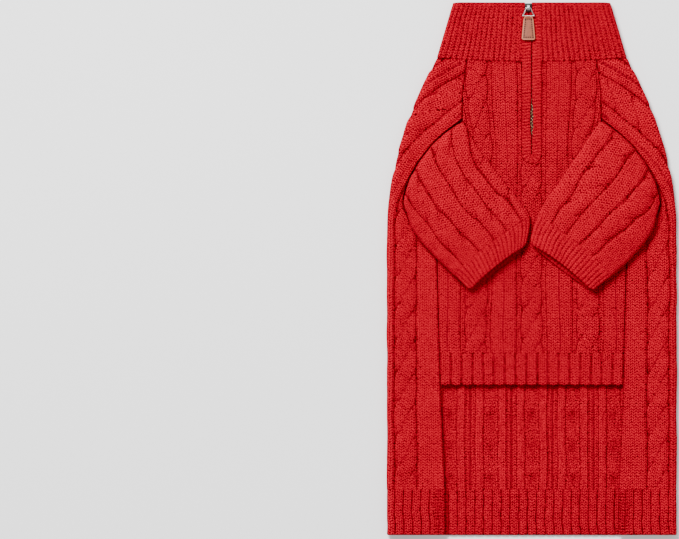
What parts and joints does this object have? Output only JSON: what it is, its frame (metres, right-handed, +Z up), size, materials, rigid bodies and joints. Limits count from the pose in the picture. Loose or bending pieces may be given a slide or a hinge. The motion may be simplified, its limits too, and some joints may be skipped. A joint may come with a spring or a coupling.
{
  "type": "dog sweater",
  "caption": "Cable-knit dog sweater with short sleeves, ribbed turtleneck and a short front zip with a leather pull, laid flat belly side up.",
  "frame": {"origin": "middle of the resting face, under the garment's centre", "axes": "+X to the right as it lies belly up, +Y from hem to collar, +Z up off the surface"},
  "size_m": [0.2176, 0.3996, 0.0152],
  "materials": {
    "cable_knit": "matte wool-like yarn in cables and purl grooves",
    "rib_knit": "matte wool-like yarn in rib",
    "band_knit": "matte plain knit band",
    "zip_tape": "woven tape with dark brass teeth",
    "slider_metal": "polished nickel",
    "ring_metal": "bright wire",
    "tab_leather": "tan leather, stitched"
  },
  "bodies": {
    "sweater": {"back_panel": "cable_knit", "back_hem_rib": "rib_knit", "front_panel": "cable_knit", "front_hem_rib": "rib_knit", "collar": "rib_knit", "zip_band": "band_knit", "sleeve_left": "cable_knit", "sleeve_right": "cable_knit", "cuff_left": "rib_knit", "cuff_right": "rib_knit", "zip_tape_left": "zip_tape", "zip_tape_right": "zip_tape", "zip_slider": "slider_metal"},
    "ring": {"pull_ring": "ring_metal"},
    "tab": {"pull_tab": "tab_leather"}
  },
  "joints": [
    {"name": "ring_swing", "type": "hinge", "parent": "sweater", "child": "ring", "pos_m": [-0.00247, 0.1955, 0.0081], "axis": [-1, 0, 0], "range_deg": [0, 150]},
    {"name": "tab_swing", "type": "hinge", "parent": "ring", "child": "tab", "pos_m": [-0.00247, 0.1895, 0.0081], "axis": [-1, 0, 0], "range_deg": [0, 60]}
  ]
}
